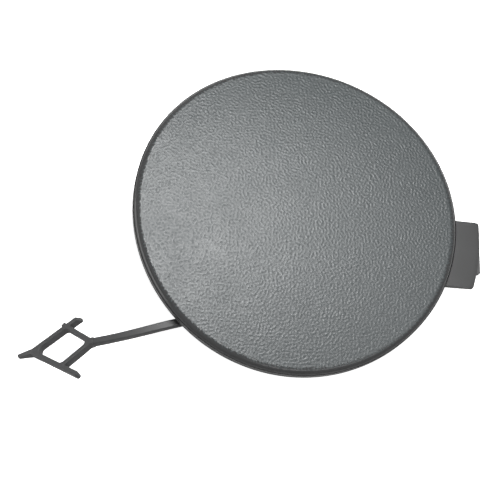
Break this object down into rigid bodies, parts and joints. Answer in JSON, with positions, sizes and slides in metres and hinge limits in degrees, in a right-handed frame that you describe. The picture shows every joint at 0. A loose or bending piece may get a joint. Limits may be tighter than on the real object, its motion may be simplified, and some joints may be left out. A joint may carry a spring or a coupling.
{
  "type": "bumper tow hook cover",
  "caption": "Round curved cap with a grained face that closes a towing eye hole in a bumper, with a locating ring, snap legs, a tongue and a strap that ends in a barbed anchor.",
  "frame": {"origin": "middle of the back of the panel, on the axis of the locating ring, at the seat in the bumper's recess", "axes": "+Z out of the bumper through the grained face, +X along the tongue, +Y up the bumper across its curve"},
  "size_m": [0.1112, 0.0827, 0.0229],
  "materials": {
    "moulding": "dark grey polypropylene, fine leather grain on the face and a smooth satin finish elsewhere"
  },
  "bodies": {
    "root": {"tow_hook_cover": "moulding"}
  },
  "joints": []
}
